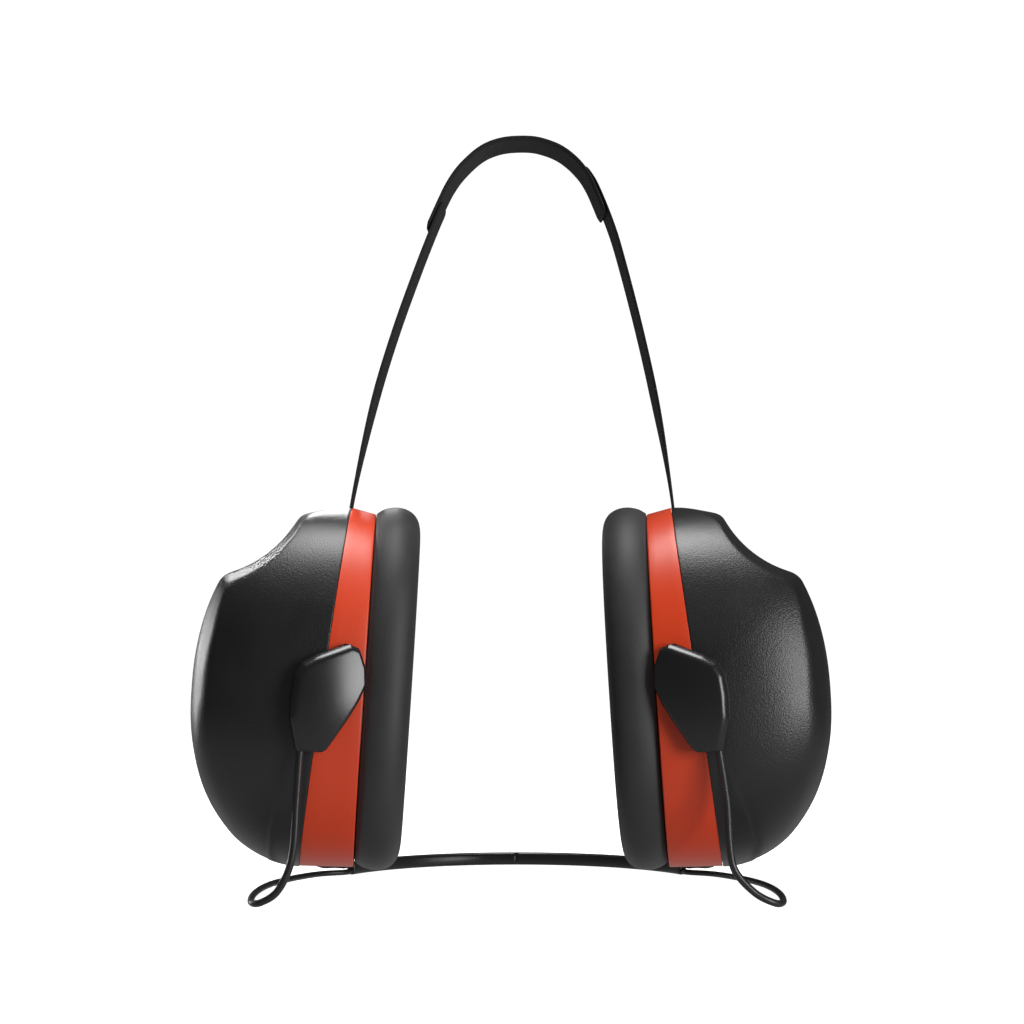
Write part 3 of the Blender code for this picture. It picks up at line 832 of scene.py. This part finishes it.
def build_wires(prefix, side):
    """The two wires of one side, from their seats in the covers to the end of the sleeve."""
    end_angle = math.asin(SLEEVE_END_X / SLEEVE_RADIUS)
    for label, end, route, height in (
        ("front", -1, FRONT_ROUTE, FRONT_WIRE_Z),
        ("rear", 1, REAR_ROUTE, REAR_WIRE_Z),
    ):
        seat = [from_cup(side, u, v, end * WIRE_SEAT_W) for u, v in WIRE_SEAT]
        exits = [
            sleeve_line(side * (end_angle + clear / SLEEVE_RADIUS), height)
            for clear in (WIRE_BEFORE_SLEEVE, GAP)
        ]
        path = smooth_path(np.concatenate([seat, band_points(side, route), exits]), 8)
        radii = np.interp(np.linspace(0.0, 1.0, len(path)), *WIRE_RADII) * MM
        piece = tube(prefix + label + "_wire_coat", path, radii)
        dress(piece, "coated_wire", prefix + label + "_wire")
        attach(piece, prefix + "arm")


def sleeve_section(count=24):
    """Half-width outwards and half-height of the sleeve's rounded section, in millimetres."""
    angle = np.linspace(0.0, 2.0 * np.pi, count, endpoint=False)
    thick, tall = SLEEVE_HALF
    across = signed_power(np.cos(angle), SLEEVE_SQUARENESS)
    up = signed_power(np.sin(angle), SLEEVE_SQUARENESS)
    return thick * across, tall * up


def build_sleeve():
    """The sleeve in two halves, one for each side, which meet in the middle."""
    end_angle = math.asin(SLEEVE_END_X / SLEEVE_RADIUS)
    thick, tall = sleeve_section()
    for prefix, side in SIDES:
        rows = []
        stations = list(np.linspace(0.0, end_angle, 60)) + [end_angle + 0.004]
        for k, angle in enumerate(stations):
            shrink = 0.86 if k == len(stations) - 1 else 1.0
            radius = SLEEVE_RADIUS + thick * shrink
            x = side * radius * np.sin(angle) + BAND_SWAY
            y = SLEEVE_CENTRE_Y + radius * np.cos(angle)
            rows.append(headset_points(np.stack([x, y, SLEEVE_Z + tall * shrink], -1)))
        grid = np.array(rows)
        half = capped_solid(prefix + "sleeve_half", grid, grid[0].mean(0), grid[-1].mean(0))
        nodes = ("neckband_sleeve",) if side < 0 else ()
        dress(half, "sleeve_plastic", *nodes)
        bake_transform(half)


# ---------------------------------------------------------------- head strap

STRAP_WIDTH = 16.0
STRAP_THICK = 0.9
CROWN_WIDTH = 21.0
CROWN_THICK = 1.3
TIP_ROUND = 1.8
STRAP_Y = -0.9
STRAP_ROUTES = {
    "left": (
        (-47.5, 47.6), (-47.5, 52.8), (-44.1, 69.9), (-39.7, 88.0), (-34.2, 106.0),
        (-27.8, 124.0), (-23.0, 136.4), (-20.2, 143.0),
    ),
    "right": (
        (47.5, 47.6), (47.8, 52.8), (45.3, 69.9), (41.9, 88.0), (37.9, 106.0),
        (33.3, 124.2), (29.8, 136.2), (25.1, 148.0), (21.7, 153.6),
    ),
    "crown": (
        (-24.7, 135.2), (-20.9, 143.6), (-18.1, 149.1), (-14.5, 154.0), (-9.0, 158.9),
        (-3.2, 161.3), (3.3, 161.9), (8.6, 161.3), (14.6, 158.9), (19.8, 154.5),
        (23.4, 149.0), (27.3, 139.6),
    ),
}
STRAP_JOINT_Z = 88.0
STRAP_TURN = 3.5
# The strap is settled to its turn between these heights
TWIST_HEIGHTS = (52.0, 90.0)
# The webbing's edge is rounded over this share of its half-width, down to this share of its thickness
EDGE_SHARE = 0.06
EDGE_THIN = 0.35


def strap_section(count=9):
    """Points round the webbing's section: across and through, each a share of its half size."""
    across = np.linspace(-1.0, 1.0, count)
    into_edge = np.clip((np.abs(across) - (1.0 - EDGE_SHARE)) / EDGE_SHARE, 0.0, 1.0)
    through = EDGE_THIN + (1.0 - EDGE_THIN) * np.sqrt(np.clip(1.0 - into_edge**2, 0.0, 1.0))
    return np.concatenate([across, across[::-1]]), np.concatenate([through, -through[::-1]])


def strap_twist(side, x, height):
    """Turn of the webbing about its own line: it leaves the slot with the cup's toe-in."""
    if side == 0:
        return math.radians(STRAP_TURN) * np.clip(x / 20.0, -1.0, 1.0)
    toe = -side * TOE[side]
    settled = side * math.radians(STRAP_TURN)
    return toe + (settled - toe) * smoothstep(*TWIST_HEIGHTS, height)


def strap_mesh(name, path, side, width, thickness, tips):
    """Webbing along a path of (x, z) in millimetres, with a UV map in metres.

    Tips tell whether its first and last end are cut ones, which are rounded and pressed thin.
    """
    line = np.stack([path[:, 0], np.full(len(path), STRAP_Y), path[:, 1]], -1)
    along = np.gradient(line, axis=0)
    along /= np.linalg.norm(along, axis=1, keepdims=True)
    twist = strap_twist(side, path[:, 0], path[:, 1])
    across = np.stack([-np.sin(twist), np.cos(twist), np.zeros(len(path))], -1)
    across -= along * np.einsum("ij,ij->i", across, along)[:, None]
    across /= np.linalg.norm(across, axis=1, keepdims=True)
    out = np.cross(across, along)
    shares, through = strap_section()
    length = np.concatenate([[0.0], np.cumsum(np.linalg.norm(np.diff(line, axis=0), axis=1))])
    to_tip = np.full(len(path), TIP_ROUND)
    for cut, distance in zip(tips, (length, length[-1] - length)):
        if cut:
            to_tip = np.minimum(to_tip, distance)
    missing = 1.0 - to_tip / TIP_ROUND
    half = width / 2.0 - TIP_ROUND * (1.0 - np.sqrt(1.0 - missing**2))
    thick = thickness / 2.0 * (1.0 - 0.6 * missing)
    wide = (half[:, None] * shares)[..., None]
    deep = (thick[:, None] * through)[..., None]
    points = headset_points(line[:, None] + across[:, None] * wide + out[:, None] * deep)
    piece = capped_solid(name, points, points[0].mean(0), points[-1].mean(0))
    lay_flat(piece, shares * np.max(width) / 2.0 * MM, length * MM, len(points) * len(shares))
    return piece, length[-1] * MM


def dense_tips(path):
    """The same path with more points near its two ends, where the webbing's tips are rounded."""
    length = np.concatenate([[0.0], np.cumsum(np.linalg.norm(np.diff(path, axis=0), axis=1))])
    close = TIP_ROUND * (1.0 - np.cos(np.linspace(0.0, 0.5 * np.pi, 9)))
    stations = np.unique(np.concatenate([length, close, length[-1] - close]))
    return np.stack([np.interp(stations, length, path[:, k]) for k in (0, 1)], -1)


def lay_flat(piece, across, along, count):
    """The UV map of a strip: metres across and along, by the grid that its points came from."""
    columns = len(across)
    layer = piece.data.uv_layers.new(name="flat")
    index = np.zeros(len(piece.data.loops), int)
    piece.data.loops.foreach_get("vertex_index", index)
    inside = np.minimum(index, count - 1)
    flat = np.stack([across[inside % columns], along[inside // columns]], -1)
    layer.data.foreach_set("uv", flat.ravel().astype(np.float32))


def build_side_strap(prefix, side):
    """The side strap in two pieces, cut at a height: one from the cup, one on up to the crown."""
    path = dense_tips(smooth_path(STRAP_ROUTES[prefix[:-1]], 12))
    cut = int(np.argmin(np.abs(path[:, 1] - STRAP_JOINT_Z)))
    size = (side, STRAP_WIDTH, STRAP_THICK)
    lower, low_length = strap_mesh(prefix + "strap_lower", path[: cut + 1], *size, (False, False))
    upper, high_length = strap_mesh(prefix + "strap_upper", path[cut:], *size, (False, True))
    dress(lower, "webbing", prefix + "strap")
    dress(upper, "webbing")
    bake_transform(lower)
    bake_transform(upper)


def build_crown():
    """The crown strap, which narrows to the side straps' width at its ends."""
    path = dense_tips(smooth_path(STRAP_ROUTES["crown"], 10))
    taper = np.linspace(-1.0, 1.0, len(path)) ** 2
    width = CROWN_WIDTH + (STRAP_WIDTH - CROWN_WIDTH) * taper
    crown, length = strap_mesh("crown_webbing", path, 0, width, CROWN_THICK, (True, True))
    dress(crown, "webbing", "crown_strap")
    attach(crown, "neckband")


# ---------------------------------------------------------------- studio

STUDIO_CENTRE = Vector((0.0, -0.01, 0.06))
LIGHT_DISTANCE = 1.2
NEAR_DISTANCE = 0.6
FLOOR_REACH = 6.0
FLOOR_DROP = 0.0002
SKY_STRENGTHS = (0.25, 0.6, 0.12, 0.08, 0.08)
WHITE_STRENGTH = 1.05


def area_light(
    name, azimuth, elevation, size, power, aim=STUDIO_CENTRE, distance=LIGHT_DISTANCE, spread=180.0
):
    """A soft box aimed at the object; its azimuth turns from the front towards the right."""
    lamp = bpy.data.lights.new(name, "AREA")
    lamp.shape = "RECTANGLE"
    lamp.size, lamp.size_y = size
    lamp.energy = power
    lamp.spread = math.radians(spread)
    holder = bpy.data.objects.new(name, lamp)
    bpy.context.scene.collection.objects.link(holder)
    turn, rise = math.radians(azimuth), math.radians(elevation)
    level = math.cos(rise)
    toward = Vector((math.sin(turn) * level, -math.cos(turn) * level, math.sin(rise)))
    holder.location = Vector(aim) + distance * toward
    holder.rotation_euler = toward.to_track_quat("Z", "Y").to_euler()


def build_floor():
    """A pale floor that the camera sees, while the sky below lights the object's underside."""
    mesh = bpy.data.meshes.new("floor")
    corners = [(-1, -1), (1, -1), (1, 1), (-1, 1)]
    points = [(x * FLOOR_REACH, y * FLOOR_REACH, -FLOOR_DROP) for x, y in corners]
    mesh.from_pydata(points, [], [(0, 1, 2, 3)])
    floor = bpy.data.objects.new("floor", mesh)
    bpy.context.scene.collection.objects.link(floor)
    paint = Shader("floor_paint", (0.8, 0.8, 0.8), 0.9)
    paint.shader.inputs["Emission Color"].default_value = (1.0, 1.0, 1.0, 1.0)
    paint.shader.inputs["Emission Strength"].default_value = 1.0
    mesh.materials.append(paint.material)
    floor.visible_diffuse = False
    floor.visible_glossy = False
    floor.visible_shadow = False


def sky(tree, strengths):
    """A background whose strength depends on height, from straight below to straight above."""
    place = tree.nodes.new("ShaderNodeTexCoord")
    parts = tree.nodes.new("ShaderNodeSeparateXYZ")
    ramp = tree.nodes.new("ShaderNodeFloatCurve")
    lift = tree.nodes.new("ShaderNodeMapRange")
    back = tree.nodes.new("ShaderNodeBackground")
    tree.links.new(place.outputs["Generated"], parts.inputs[0])
    lift.inputs["From Min"].default_value = -1.0
    tree.links.new(parts.outputs["Z"], lift.inputs["Value"])
    points = ramp.mapping.curves[0].points
    points[0].location = (0.0, strengths[0])
    points[1].location = (1.0, strengths[-1])
    for k, strength in enumerate(strengths[1:-1], 1):
        points.new(k / (len(strengths) - 1), strength)
    ramp.mapping.update()
    tree.links.new(lift.outputs["Result"], ramp.inputs["Value"])
    tree.links.new(ramp.outputs["Value"], back.inputs["Strength"])
    return back


def build_world():
    """White to the camera's eye, and a faint light on the object that's strongest from below."""
    world = bpy.data.worlds.new("studio")
    bpy.context.scene.world = world
    world.use_nodes = True
    tree = world.node_tree
    tree.nodes.clear()
    seen = tree.nodes.new("ShaderNodeBackground")
    seen.inputs["Color"].default_value = (1.0, 1.0, 1.0, 1.0)
    seen.inputs["Strength"].default_value = WHITE_STRENGTH
    even = sky(tree, SKY_STRENGTHS)
    path = tree.nodes.new("ShaderNodeLightPath")
    mix = tree.nodes.new("ShaderNodeMixShader")
    out = tree.nodes.new("ShaderNodeOutputWorld")
    tree.links.new(path.outputs["Is Camera Ray"], mix.inputs[0])
    tree.links.new(even.outputs[0], mix.inputs[1])
    tree.links.new(seen.outputs[0], mix.inputs[2])
    tree.links.new(mix.outputs[0], out.inputs["Surface"])


def build_camera():
    """Level with the lower part of the cups, on the wearer's front side."""
    lens = bpy.data.cameras.new("camera")
    lens.sensor_width = 36.0
    lens.lens = 77.17
    lens.clip_start = 0.01
    camera = bpy.data.objects.new("camera", lens)
    bpy.context.scene.collection.objects.link(camera)
    camera.location = (0.0, -0.65957, 0.0726)
    camera.rotation_euler = (math.radians(93.36), 0.0, 0.0)
    bpy.context.scene.camera = camera


build_camera()
build_world()
build_floor()
area_light("overhead", 0.0, 86.0, (0.6, 0.6), 16.0)
area_light("right_front", 43.0, 7.0, (0.5, 0.6), 10.0)
for name, azimuth, elevation, size, power, aim, spread in (
    ("left_side", -130.0, 6.0, (0.12, 0.3), 0.035, (-0.13, 0.0, 0.06), 24.0),
    ("left_scoop", -138.0, 50.0, (0.08, 0.08), 0.045, (-0.14, 0.0, 0.1), 22.0),
    ("left_top", -178.0, 30.0, (0.12, 0.1), 0.032, (-0.125, 0.0, 0.11), 15.0),
):
    area_light(name, azimuth, elevation, size, power, aim, NEAR_DISTANCE, spread)

for prefix, side in SIDES:
    build_shell(prefix, side)
    build_ring(prefix, side)
    build_plate(prefix, side)
    build_cushion(prefix, side)
    build_foam(prefix, side)
    build_cover(prefix, side, -1, "front")
    build_cover(prefix, side, 1, "rear")
    build_wires(prefix, side)
    build_side_strap(prefix, side)
build_sleeve()
build_crown()

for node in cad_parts.values():
    if node.name.endswith("pivot_pin"):
        dress(node, "pin_steel")
    if node.name.endswith("strap_anchor"):
        dress(node, "satin_plastic")

bpy.context.scene.view_settings.view_transform = "Standard"
